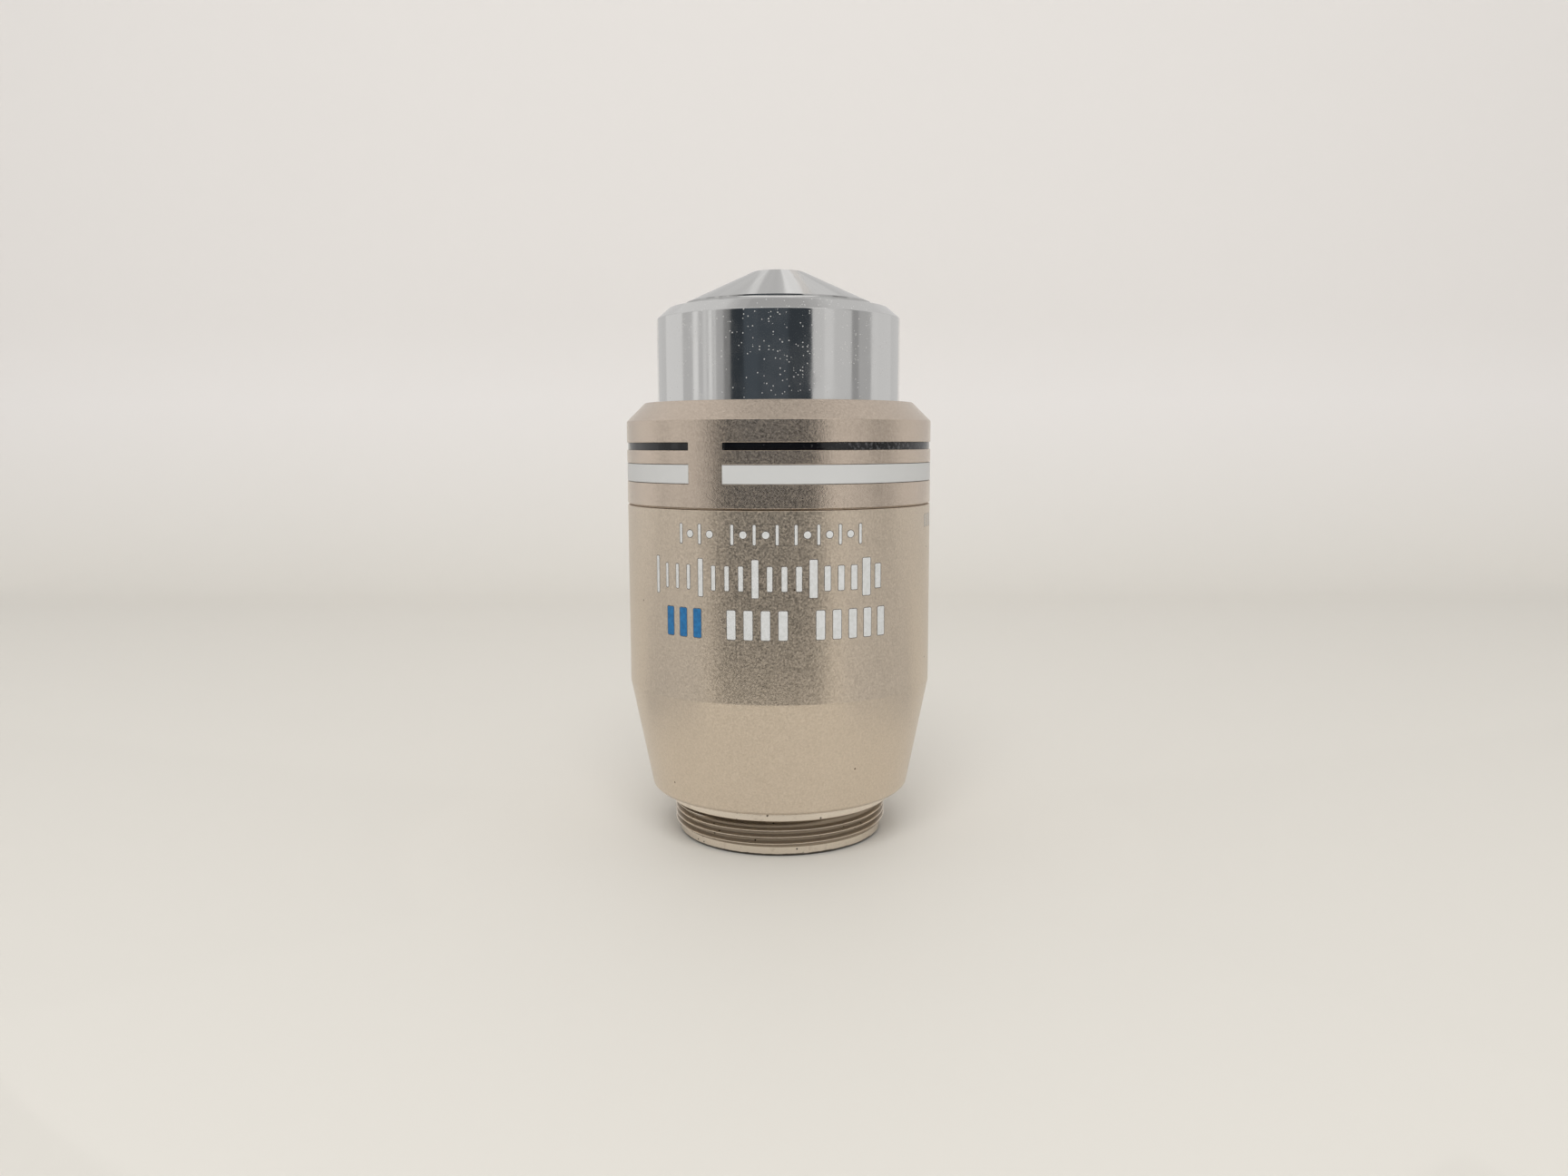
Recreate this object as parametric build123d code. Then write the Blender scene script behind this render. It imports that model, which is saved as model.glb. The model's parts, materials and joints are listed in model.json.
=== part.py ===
from build123d import *
import math
import os
from dataclasses import dataclass

# High power oil immersion microscope objective with a sprung nose, in millimetres. It stands on
# its thread end: the origin is the middle of that end face and +Z runs up the optical axis to the
# front lens. The front is -Y, and the colour bands have their gap a little to the left of it.

# Mounting ring, from the end face up: plain lead, standard thread, relief groove and flange
thread_radius = 12.5
thread_length = 2.9
lead_drop = 0.5
lead_length = 1.1
lead_chamfer = 0.3
relief_depth = 0.85
relief_length = 0.5
flange_overhang = 0.7
flange_length = 0.85
flange_chamfer = 0.12
rear_bore_wall = 2.3
spigot_wall = 1.3
spigot_length = 2.95
shim_thickness = 0.3
shim_inset = 0.1

# Outer barrel: a tapered foot, then a plain cylinder up to the seam, a fine groove under the front ring
barrel_length = 33.25
barrel_wall = 1.72
foot_wall = 1.85
foot_chamfer = 0.35
taper_length = 12.75
pilot_step = 0.6
pilot_length = 3.35
seam_chamfer = 0.06
seam_gap = 0.12
seam_depth = 0.4

# Front ring with its shoulder, and the two enamel bands sunk in it
ring_length = 9.43
ring_land = 1.45
white_band_start = 2.7
white_band_width = 2.07
black_band_start = 6.24
black_band_width = 0.82
band_depth = 0.3
black_band_sink = 0.12
band_gap_middle = -26.4
band_gap_angle = 13.2
guide_bore_length = 4.4
guide_mouth_chamfer = 0.2
relief_gap = 0.3

# Nose sleeve and the cone at the tip
nose_gap = 2.2
nose_wall = 1.4
nose_chamfer_height = 1.2
nose_chamfer_depth = 1.37
nose_cap = 2.5
skirt_overlap = 0.55
skirt_height = 0.5
skirt_groove_height = 0.15
skirt_groove_depth = 0.22
cone_height = 3.7
tip_radius = 3.0

# Inner housing
housing_gap = 0.86
housing_wall = 1.3
housing_flange_length = 1.0
housing_past_seam = 3.6
neck_wall = 1.12
collar_from_seam = 5.9
collar_length = 3.0
end_gap = 0.1

# Lens sleeve, its spring, its stop and its key
sleeve_bore_radius = 9.0
sleeve_wall = 1.4
spring_space = 3.32
spring_flange_length = 3.5
spring_length = 14.0
spring_wire_radius = 0.75
spring_turns = 5.5
spring_arcs_per_turn = 4
stop_ring_length = 2.0
stop_ring_inset = 1.5
stop_ring_bore_gap = 0.4
nose_travel = 2.0
travel_margin = 0.4
key_screw_radius = 1.0
key_screw_angle = 90
key_engagement = 1.35
keyway_floor_gap = 0.3
centring_screw_radius = 0.8
centring_screw_count = 3

# Clearances: sliding pairs, pieces screwed or dropped into each other, cement between lenses
slide_clearance = 0.05
screw_clearance = 0.02
cement_gap = 0.01

# What holds the lenses: flat lands round the glass, lips and rims in the cells, spacers, exit stop and
# end ring
lens_land = 0.6
seat_lip_thickness = 0.3
seat_lip_width = 0.55
rim_thickness = 0.2
rim_width = 0.3
mouth_step = 0.3
spacer_wall = 2.4
spacer_a_length = 1.6
spacer_b_length = 2.0
spacer_c_length = 1.2
pupil_stop_thickness = 0.3
pupil_radius = 2.9
end_ring_length = 1.4
end_ring_bore_radius = 5.6
end_ring_inset = 0.5
spanner_slot_width = 1.2
spanner_slot_depth = 0.6

# Front lens in the tip: a hemisphere with a small bead cemented into its flat face
front_lens_radius = 2.6
front_face_radius = 1.95
front_bevel_height = 0.55
front_seat_length = 0.4
bead_radius = 1.1
bead_depth = 0.7
lens_ring_wall = 1.28
lens_ring_lip_drop = 1.15
lens_ring_lip_thickness = 0.5
second_cell_drop = 2.7
second_cell_wall = 1.3
front_cell_wall = 1.4


@dataclass
class LensGroup:
    """A cell and the lens or cemented lenses in it, listed from the thread end to the nose."""

    cell_length: float
    seat_height: float
    glass_radius: float
    edges: tuple
    bulges: tuple


# Each lens has one edge thickness, and each surface one bulge: its radius of curvature, positive
# where it stands out towards the nose and negative where it stands out towards the thread.
second_group = LensGroup(
    cell_length=3.6, seat_height=1.9, glass_radius=4.3, edges=(1.3,), bulges=(-5.2, -6.5),
)
third_group = LensGroup(
    cell_length=4.0, seat_height=2.0, glass_radius=5.6, edges=(1.2,), bulges=(-7.5, -14.0),
)
fourth_group = LensGroup(
    cell_length=6.6, seat_height=2.15, glass_radius=6.6, edges=(0.8, 2.2), bulges=(-10.0, 12.0, 16.0),
)
fifth_group = LensGroup(
    cell_length=9.4, seat_height=1.9, glass_radius=6.9,
    edges=(0.7, 4.03, 0.7), bulges=(-18.0, 16.0, -16.0, 14.0),
)
sixth_group = LensGroup(
    cell_length=6.2, seat_height=0.7, glass_radius=6.2, edges=(3.5, 0.8), bulges=(-40.0, -8.5, 20.0),
)
seventh_group = LensGroup(
    cell_length=6.0, seat_height=0.6, glass_radius=5.4, edges=(3.3, 0.8), bulges=(9.0, -14.0, 13.0),
)
eighth_group = LensGroup(
    cell_length=4.4, seat_height=0.5, glass_radius=4.8, edges=(2.0, 0.7), bulges=(5.5, 20.0, 6.5),
)
ninth_group = LensGroup(
    cell_length=4.4, seat_height=1.45, glass_radius=4.4, edges=(0.8, 1.7), bulges=(-6.5, -15.0, -5.0),
)

# Heights of the housing, from the end face up
thread_end = lead_length + thread_length
flange_start = thread_end + relief_length
flange_top = flange_start + flange_length
seat_z = flange_top + shim_thickness
spigot_top_z = seat_z + spigot_length
taper_z = seat_z + taper_length
seam_z = seat_z + barrel_length
ring_shoulder_z = seam_z + ring_length
housing_top_z = seam_z + housing_past_seam
stop_ring_top_z = housing_top_z - stop_ring_inset
spring_flange_top_z = stop_ring_top_z - stop_ring_length
spring_top_z = spring_flange_top_z - spring_flange_length
ledge_z = spring_top_z - spring_length
key_z = spring_top_z + spring_flange_length / 2

# Heights of the lens stack, from the lens sleeve's rear end up
sleeve_bottom_z = spigot_top_z + nose_travel + travel_margin
end_ring_z = sleeve_bottom_z + end_ring_inset
pupil_stop_z = end_ring_z + end_ring_length
ninth_z = pupil_stop_z + pupil_stop_thickness
eighth_z = ninth_z + ninth_group.cell_length
spacer_c_z = eighth_z + eighth_group.cell_length
seventh_z = spacer_c_z + spacer_c_length
spacer_b_z = seventh_z + seventh_group.cell_length
sixth_z = spacer_b_z + spacer_b_length
spacer_a_z = sixth_z + sixth_group.cell_length
fifth_z = spacer_a_z + spacer_a_length
fourth_z = fifth_z + fifth_group.cell_length
third_z = fourth_z + fourth_group.cell_length
second_z = third_z + third_group.cell_length
second_top_z = second_z + second_group.cell_length
tip_z = second_top_z + second_cell_drop
skirt_top_z = tip_z - cone_height
nose_top_z = skirt_top_z - skirt_height
nose_bottom_z = housing_top_z + nose_travel + travel_margin
bevel_z = tip_z - front_bevel_height
front_seat_z = bevel_z - front_seat_length
centring_z = fourth_z + fourth_group.cell_length / 2

# Radii of the lens sleeve and of what goes round it, from the axis out
cell_radius = sleeve_bore_radius - screw_clearance
sleeve_radius = sleeve_bore_radius + sleeve_wall
guide_radius = sleeve_radius + slide_clearance
chamber_radius = sleeve_radius + spring_space
spring_flange_radius = chamber_radius - slide_clearance
housing_radius = chamber_radius + housing_wall
barrel_bore_radius = housing_radius + housing_gap
barrel_radius = barrel_bore_radius + barrel_wall

# Radii at the thread end. The neck's wall is measured from the wider of the two bores in it.
rear_bore_radius = thread_radius - rear_bore_wall
spigot_radius = rear_bore_radius + spigot_wall
spigot_bore_radius = spigot_radius + screw_clearance
flange_radius = thread_radius + flange_overhang
neck_radius = max(spigot_bore_radius, guide_radius) + neck_wall
pilot_radius = neck_radius + screw_clearance
housing_flange_radius = pilot_radius + pilot_step
foot_bore_radius = housing_flange_radius + screw_clearance
foot_radius = foot_bore_radius + foot_wall

# Radii at the nose
nose_bore_radius = sleeve_radius + nose_gap
nose_radius = nose_bore_radius + nose_wall
nose_guide_radius = nose_radius + slide_clearance
ring_land_radius = nose_guide_radius + ring_land
skirt_radius = sleeve_radius + skirt_overlap
lens_ring_radius = front_lens_radius + lens_ring_wall
second_cell_radius = second_group.glass_radius + second_cell_wall
third_cell_radius = cell_radius - front_cell_wall

# Heights that follow from 45 degree cones
ring_top_z = ring_shoulder_z + barrel_radius - ring_land_radius
neck_top_z = taper_z - (housing_radius - neck_radius)


def turned(points):
    """Solid of revolution about the axis, from a closed outline of radius and height."""
    outline = Polyline(*[(radius, 0, height) for radius, height in points], close=True)
    return revolve(make_face(outline), axis=Axis.Z)


def washer(inner, outer, bottom, top):
    """Plain ring with a rectangular section."""
    return turned([(inner, bottom), (outer, bottom), (outer, top), (inner, top)])


def radial_rod(radius, inner, outer, height, angle):
    """Round rod that lies along a radius of the objective."""
    rod = Cylinder(radius, outer - inner, align=(Align.CENTER, Align.CENTER, Align.MIN))
    return Pos(0, 0, height) * Rot(0, 0, angle) * Pos(inner, 0, 0) * Rot(0, 90, 0) * rod


def mounting_ring():
    """Turned brass ring with the standard thread that screws into a nosepiece."""
    lead_radius = thread_radius - lead_drop
    relief_radius = thread_radius - relief_depth
    return turned([
        (rear_bore_radius, 0),
        (lead_radius - lead_chamfer, 0),
        (lead_radius, lead_chamfer),
        (lead_radius, lead_length),
        (thread_radius, lead_length + lead_drop),
        (thread_radius, thread_end),
        (relief_radius, thread_end),
        (relief_radius, flange_start),
        (flange_radius - flange_chamfer, flange_start),
        (flange_radius, flange_start + flange_chamfer),
        (flange_radius, flange_top - flange_chamfer),
        (flange_radius - flange_chamfer, flange_top),
        (spigot_radius, flange_top),
        (spigot_radius, spigot_top_z),
        (rear_bore_radius, spigot_top_z),
    ])


def mounting_shim():
    """Thin washer, picked at assembly, that the mounting ring's flange clamps to the body."""
    return washer(spigot_bore_radius, flange_radius - shim_inset, flange_top, seat_z)


def inner_housing():
    """Tube that everything screws to: rear guide bore, spring ledge and spring chamber."""
    flange_z = seat_z + housing_flange_length
    collar_radius = barrel_bore_radius - screw_clearance
    collar_z = seam_z - collar_from_seam
    body = turned([
        (spigot_bore_radius, seat_z),
        (housing_flange_radius, seat_z),
        (housing_flange_radius, flange_z),
        (neck_radius, flange_z),
        (neck_radius, neck_top_z),
        (housing_radius, taper_z),
        (housing_radius, collar_z),
        (collar_radius, collar_z),
        (collar_radius, collar_z + collar_length),
        (housing_radius, collar_z + collar_length),
        (housing_radius, housing_top_z),
        (chamber_radius, housing_top_z),
        (chamber_radius, ledge_z),
        (guide_radius, ledge_z),
        (guide_radius, spigot_top_z),
        (spigot_bore_radius, spigot_top_z),
    ])
    return body - radial_rod(key_screw_radius, sleeve_radius, barrel_radius, key_z, key_screw_angle)


def outer_barrel():
    """Cover sleeve, clamped between the housing's flange and the front ring; its foot is the seat."""
    step_z = seat_z + housing_flange_length
    return turned([
        (foot_bore_radius, seat_z),
        (foot_radius - foot_chamfer, seat_z),
        (foot_radius, seat_z + foot_chamfer),
        (barrel_radius, taper_z),
        (barrel_radius, seam_z - seam_chamfer),
        (barrel_radius - seam_chamfer, seam_z),
        (barrel_bore_radius, seam_z),
        (barrel_bore_radius, taper_z),
        (pilot_radius, seat_z + pilot_length),
        (pilot_radius, step_z),
        (foot_bore_radius, step_z),
    ])


def band_sector(start, width, outer):
    """One band's space in the front ring, from its floor out to a radius, with the gap left out."""
    bottom = seam_z + start
    floor = barrel_radius - band_depth
    outline = Polyline(
        (floor, 0, bottom), (outer, 0, bottom), (outer, 0, bottom + width), (floor, 0, bottom + width),
        close=True,
    )
    sector = revolve(make_face(outline), axis=Axis.Z, revolution_arc=360 - band_gap_angle)
    return sector.rotate(Axis.Z, -90 + band_gap_middle + band_gap_angle / 2)


def front_ring():
    """Ring that screws over the housing, carries the bands and guides the nose sleeve."""
    thread_bore = housing_radius + screw_clearance
    relief_bore = nose_guide_radius + relief_gap
    step_z = housing_top_z + end_gap
    guide_z = ring_top_z - guide_bore_length
    body = turned([
        (thread_bore, seam_z),
        (barrel_radius - seam_depth, seam_z),
        (barrel_radius - seam_depth, seam_z + seam_gap),
        (barrel_radius, seam_z + seam_gap),
        (barrel_radius, ring_shoulder_z),
        (ring_land_radius, ring_top_z),
        (nose_guide_radius + guide_mouth_chamfer, ring_top_z),
        (nose_guide_radius, ring_top_z - guide_mouth_chamfer),
        (nose_guide_radius, guide_z),
        (relief_bore, guide_z),
        (relief_bore, step_z),
        (thread_bore, step_z),
    ])
    body -= band_sector(white_band_start, white_band_width, barrel_radius + band_depth)
    body -= band_sector(black_band_start, black_band_width, barrel_radius + band_depth)
    return body


def stop_ring():
    """Threaded ring in the top of the housing: the lens sleeve's flange rests under it."""
    inner = sleeve_radius + stop_ring_bore_gap
    return washer(inner, chamber_radius - screw_clearance, spring_flange_top_z, stop_ring_top_z)


def guide_screw():
    """Headless screw whose plain tip runs in the keyway and keeps the nose from turning."""
    radius = key_screw_radius - screw_clearance
    return radial_rod(radius, spring_flange_radius - key_engagement, housing_radius, key_z, key_screw_angle)


def return_spring():
    """Compression spring in the ring-shaped chamber, its two ends ground flat."""
    mean_radius = (sleeve_radius + chamber_radius) / 2
    pitch = (spring_length - spring_wire_radius) / spring_turns
    start_z = ledge_z - spring_wire_radius / 2
    turns = (spring_length + spring_wire_radius) / pitch
    arc_count = math.ceil(turns * spring_arcs_per_turn)

    def point(turn):
        angle = 2 * math.pi * turn
        return (mean_radius * math.cos(angle), mean_radius * math.sin(angle), start_z + pitch * turn)

    arcs = []
    for index in range(arc_count):
        stops = [(index + part) / spring_arcs_per_turn for part in (0, 0.5, 1)]
        arcs.append(ThreePointArc(*[point(turn) for turn in stops]))
    path = Wire(arcs)
    wire = Plane(origin=path @ 0, z_dir=path % 0) * Circle(spring_wire_radius)
    coil = sweep(wire, path=path, is_frenet=True)
    ground = Pos(0, 0, ledge_z) * Cylinder(
        chamber_radius, spring_length, align=(Align.CENTER, Align.CENTER, Align.MIN)
    )
    return coil & ground


def nose_sleeve():
    """Plated sleeve, screwed to the lens sleeve by its cap and slid into the front ring."""
    inner = sleeve_radius + screw_clearance
    cap_z = nose_top_z - nose_cap
    return turned([
        (nose_bore_radius, nose_bottom_z),
        (nose_radius, nose_bottom_z),
        (nose_radius, nose_top_z - nose_chamfer_height),
        (nose_radius - nose_chamfer_depth, nose_top_z),
        (inner, nose_top_z),
        (inner, cap_z),
        (nose_bore_radius, cap_z),
    ])


def centring_angles():
    """The centring screws are spaced evenly round the lens sleeve."""
    return [360 * index / centring_screw_count for index in range(centring_screw_count)]


def lens_sleeve():
    """Sliding tube with the whole lens stack, its spring flange and the keyway."""
    body = turned([
        (sleeve_bore_radius, sleeve_bottom_z),
        (sleeve_radius, sleeve_bottom_z),
        (sleeve_radius, spring_top_z),
        (spring_flange_radius, spring_top_z),
        (spring_flange_radius, spring_flange_top_z),
        (sleeve_radius, spring_flange_top_z),
        (sleeve_radius, nose_top_z),
        (sleeve_bore_radius, nose_top_z),
    ])
    half_width = key_screw_radius + slide_clearance
    depth = key_engagement + keyway_floor_gap
    keyway = Box(2 * depth, 2 * half_width, 2 * spring_flange_length)
    body -= Pos(0, 0, key_z) * Rot(0, 0, key_screw_angle) * Pos(spring_flange_radius, 0, 0) * keyway
    for angle in centring_angles():
        body -= radial_rod(centring_screw_radius, cell_radius / 2, nose_radius, centring_z, angle)
    return body


def centring_screws():
    """Grub screws that push the fourth cell onto the axis."""
    radius = centring_screw_radius - screw_clearance
    screws = [
        radial_rod(radius, sleeve_bore_radius, sleeve_radius, centring_z, angle)
        for angle in centring_angles()
    ]
    return Compound(children=screws)


def front_cell():
    """Turned cone at the tip, bored in steps for the front lens and the next two cells."""
    lens_bore = front_lens_radius + screw_clearance
    ring_bore = lens_ring_radius + screw_clearance
    second_bore = second_cell_radius + screw_clearance
    third_bore = third_cell_radius + screw_clearance
    groove_radius = skirt_radius - skirt_groove_depth
    groove_top_z = nose_top_z + skirt_groove_height
    return turned([
        (third_bore, third_z),
        (cell_radius, third_z),
        (cell_radius, nose_top_z),
        (groove_radius, nose_top_z),
        (groove_radius, groove_top_z),
        (skirt_radius, groove_top_z),
        (skirt_radius, skirt_top_z),
        (tip_radius, tip_z),
        (front_face_radius + screw_clearance, tip_z),
        (lens_bore, bevel_z),
        (lens_bore, front_seat_z),
        (ring_bore, front_seat_z),
        (ring_bore, second_top_z),
        (second_bore, second_top_z),
        (second_bore, second_z),
        (third_bore, second_z),
    ])


def sag(bulge, reach):
    """Height of a spherical surface between its axis and a distance from it, signed as the bulge."""
    return math.copysign(abs(bulge) - math.sqrt(bulge ** 2 - reach ** 2), bulge)


def surface(bulge, reach, rim_z):
    """Points of a lens surface at its rim, half way in and on the axis."""
    vertex_z = rim_z + sag(bulge, reach)
    middle_z = vertex_z - sag(bulge, reach / 2)
    return [(reach, 0, rim_z), (reach / 2, 0, middle_z), (0, 0, vertex_z)]


def lens(glass_radius, lower, upper):
    """Round lens between two surfaces, with flat lands out to the glass radius."""
    rim_points = [lower[0], (glass_radius, 0, lower[0][2]), (glass_radius, 0, upper[0][2]), upper[0]]
    edge_points = [point for index, point in enumerate(rim_points) if point not in rim_points[:index]]
    outline = [
        ThreePointArc(*reversed(lower)),
        Polyline(*edge_points),
        ThreePointArc(*upper),
        Line(upper[2], lower[2]),
    ]
    return revolve(make_face(outline), axis=Axis.Z)


def group_lenses(group, cell_z):
    """The lens or cemented lenses of one group, from the thread end to the nose."""
    rim_z = cell_z + group.seat_height
    clear_radius = group.glass_radius - lens_land
    last = len(group.edges) - 1
    lenses = []
    for index, edge in enumerate(group.edges):
        lower_reach = clear_radius if index == 0 else group.glass_radius
        upper_reach = clear_radius if index == last else group.glass_radius
        lower = surface(group.bulges[index], lower_reach, rim_z)
        upper = surface(group.bulges[index + 1], upper_reach, rim_z + edge)
        lenses.append(lens(group.glass_radius, lower, upper))
        rim_z += edge + cement_gap
    return lenses


def group_cell(group, cell_z, outer):
    """Turned brass cell: a lip under the glass, a bored seat and a rim rolled over the edge."""
    seat = cell_z + group.seat_height
    rim = seat + sum(group.edges) + cement_gap * (len(group.edges) - 1)
    top = cell_z + group.cell_length
    bore = group.glass_radius + screw_clearance
    lip_bore = group.glass_radius - seat_lip_width
    rim_bore = group.glass_radius - rim_width
    mouth = bore + mouth_step
    return turned([
        (bore, cell_z),
        (outer, cell_z),
        (outer, top),
        (mouth, top),
        (mouth, rim + rim_thickness),
        (rim_bore, rim + rim_thickness),
        (rim_bore, rim),
        (bore, rim),
        (bore, seat),
        (lip_bore, seat),
        (lip_bore, seat - seat_lip_thickness),
        (bore, seat - seat_lip_thickness),
    ])


def front_lens_bead():
    """Small bead of glass in the flat face of the front lens."""
    radius = (bead_radius ** 2 + bead_depth ** 2) / (2 * bead_depth)
    lower = surface(-radius, bead_radius, tip_z)
    outline = [ThreePointArc(*lower), Line(lower[2], (0, 0, tip_z)), Line((0, 0, tip_z), lower[0])]
    return revolve(make_face(outline), axis=Axis.Z)


def front_lens():
    """Hemisphere with a bevelled rim and a spherical pocket for the bead."""
    radius = (bead_radius ** 2 + bead_depth ** 2) / (2 * bead_depth)
    pocket = surface(-radius - cement_gap, bead_radius + cement_gap, tip_z)
    half = math.sqrt(0.5) * front_lens_radius
    vertex = (0, 0, bevel_z - front_lens_radius)
    outline = [
        ThreePointArc(vertex, (half, 0, bevel_z - half), (front_lens_radius, 0, bevel_z)),
        Polyline((front_lens_radius, 0, bevel_z), (front_face_radius, 0, tip_z), pocket[0]),
        ThreePointArc(*pocket),
        Line(pocket[2], vertex),
    ]
    return revolve(make_face(outline), axis=Axis.Z)


def front_lens_ring():
    """Threaded ring behind the front lens: its lip bears on the glass."""
    lip_z = bevel_z - lens_ring_lip_drop
    lip_bore = math.sqrt(front_lens_radius ** 2 - lens_ring_lip_drop ** 2) + screw_clearance
    bore = front_lens_radius + screw_clearance
    return turned([
        (lip_bore, lip_z - lens_ring_lip_thickness),
        (lens_ring_radius, lip_z - lens_ring_lip_thickness),
        (lens_ring_radius, front_seat_z),
        (bore, front_seat_z),
        (bore, lip_z),
        (lip_bore, lip_z),
    ])


def spacer(bottom, length):
    """Plain ring that sets the air gap between two cells."""
    return washer(cell_radius - spacer_wall, cell_radius, bottom, bottom + length)


def pupil_stop():
    """Thin disc with the hole that limits the light at the thread end."""
    return washer(pupil_radius, cell_radius, pupil_stop_z, ninth_z)


def rear_retaining_ring():
    """Threaded ring that clamps the stack, with two slots for a spanner."""
    ring = washer(end_ring_bore_radius, cell_radius, end_ring_z, pupil_stop_z)
    slot = Box(2 * sleeve_radius, spanner_slot_width, 2 * spanner_slot_depth)
    return ring - Pos(0, 0, end_ring_z) * slot


parts = {
    "mounting_ring": mounting_ring(),
    "mounting_shim": mounting_shim(),
    "inner_housing": inner_housing(),
    "outer_barrel": outer_barrel(),
    "front_ring": front_ring(),
    "white_band": band_sector(white_band_start, white_band_width, barrel_radius),
    "black_band": band_sector(black_band_start, black_band_width, barrel_radius - black_band_sink),
    "stop_ring": stop_ring(),
    "guide_screw": guide_screw(),
    "return_spring": return_spring(),
    "nose_sleeve": nose_sleeve(),
    "lens_sleeve": lens_sleeve(),
    "centring_screws": centring_screws(),
    "front_cell": front_cell(),
    "front_lens_bead": front_lens_bead(),
    "front_lens": front_lens(),
    "front_lens_ring": front_lens_ring(),
    "spacer_a": spacer(spacer_a_z, spacer_a_length),
    "spacer_b": spacer(spacer_b_z, spacer_b_length),
    "spacer_c": spacer(spacer_c_z, spacer_c_length),
    "pupil_stop": pupil_stop(),
    "rear_retaining_ring": rear_retaining_ring(),
}

# Each group's number, where its cell starts and how wide the cell is
groups = [
    (2, second_group, second_z, second_cell_radius),
    (3, third_group, third_z, third_cell_radius),
    (4, fourth_group, fourth_z, cell_radius),
    (5, fifth_group, fifth_z, cell_radius),
    (6, sixth_group, sixth_z, cell_radius),
    (7, seventh_group, seventh_z, cell_radius),
    (8, eighth_group, eighth_z, cell_radius),
    (9, ninth_group, ninth_z, cell_radius),
]
for number, group, cell_z, outer in groups:
    parts[f"cell_{number}"] = group_cell(group, cell_z, outer)
    lenses = group_lenses(group, cell_z)
    letters = "abc" if len(lenses) > 1 else [""]
    for letter, glass in zip(letters, reversed(lenses)):
        parts[f"lens_{number}{letter}"] = glass

os.makedirs("parts", exist_ok=True)
for name, shape in parts.items():
    export_step(shape, f"parts/{name}.step")
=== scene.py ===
import json
import math
import bpy
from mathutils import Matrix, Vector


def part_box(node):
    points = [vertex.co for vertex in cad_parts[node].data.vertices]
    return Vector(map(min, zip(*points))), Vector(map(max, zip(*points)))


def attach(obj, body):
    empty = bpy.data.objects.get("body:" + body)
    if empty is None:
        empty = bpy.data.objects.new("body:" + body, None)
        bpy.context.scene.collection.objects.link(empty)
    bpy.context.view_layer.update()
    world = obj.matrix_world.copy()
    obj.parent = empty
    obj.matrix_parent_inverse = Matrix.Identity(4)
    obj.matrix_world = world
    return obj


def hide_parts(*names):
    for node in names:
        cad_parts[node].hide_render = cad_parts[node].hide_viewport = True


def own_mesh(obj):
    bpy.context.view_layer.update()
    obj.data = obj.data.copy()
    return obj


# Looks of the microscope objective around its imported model. Sizes are written in millimetres
# and become metres through mm.

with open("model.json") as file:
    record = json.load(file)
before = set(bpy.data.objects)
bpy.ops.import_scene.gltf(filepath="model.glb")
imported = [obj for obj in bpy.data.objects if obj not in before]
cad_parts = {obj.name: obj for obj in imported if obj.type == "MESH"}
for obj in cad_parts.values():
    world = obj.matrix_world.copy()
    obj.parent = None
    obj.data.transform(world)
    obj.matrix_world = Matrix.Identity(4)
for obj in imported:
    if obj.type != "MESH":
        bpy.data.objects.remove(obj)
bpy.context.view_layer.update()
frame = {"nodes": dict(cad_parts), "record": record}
bpy.ops.object.select_all(action="DESELECT")
mm = 0.001

# The camera stands at the photograph's place: level with the nose, looking a little down at the
# objective, which is a bit left of the middle of the picture.
bpy.ops.object.camera_add(
    location=(0.61 * mm, -143.1 * mm, 46.0 * mm),
    rotation=(math.radians(83.14), math.radians(0.167), 0),
)
camera = bpy.context.object
camera.data.lens = 27.89
camera.data.clip_start = 0.005
bpy.context.scene.camera = camera
bpy.context.scene.view_settings.view_transform = "Standard"

# The table and the wall behind it are one pale sheet that bends up softly behind the objective. It is
# no part of the object, and its wall glows a little, so that it looks as bright as the table.
table_color = (0.745, 0.72, 0.665)
wall_color = (0.81, 0.785, 0.765)
table_reach = 1400 * mm
wall_distance = 300 * mm
wall_bend = 90 * mm
bpy.ops.mesh.primitive_plane_add(size=2 * table_reach, location=(0, wall_distance - table_reach, 0))
table = bpy.context.object
table.name = "pale_table"
bpy.ops.object.transform_apply()


def pick(piece, kind, test):
    """Goes into edit mode with only the vertices, edges or faces selected that a test says yes to."""
    bpy.ops.object.mode_set(mode="EDIT")
    bpy.ops.mesh.select_mode(type=kind)
    bpy.ops.mesh.select_all(action="DESELECT")
    bpy.ops.object.mode_set(mode="OBJECT")
    mesh = piece.data
    for element in {"VERT": mesh.vertices, "EDGE": mesh.edges, "FACE": mesh.polygons}[kind]:
        element.select = test(element)
    bpy.ops.object.mode_set(mode="EDIT")


def is_back_edge(edge):
    return min(table.data.vertices[index].co.y for index in edge.vertices) > wall_distance - 1 * mm


pick(table, "EDGE", is_back_edge)
bpy.ops.mesh.extrude_region_move(TRANSFORM_OT_translate={"value": (0, 0, table_reach)})
bpy.ops.object.mode_set(mode="OBJECT")
bpy.ops.object.modifier_add(type="BEVEL")
table.modifiers[-1].width = wall_bend
table.modifiers[-1].segments = 24
table.modifiers[-1].limit_method = "ANGLE"
bpy.ops.object.modifier_apply(modifier=table.modifiers[-1].name)
bpy.ops.object.shade_smooth()


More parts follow.
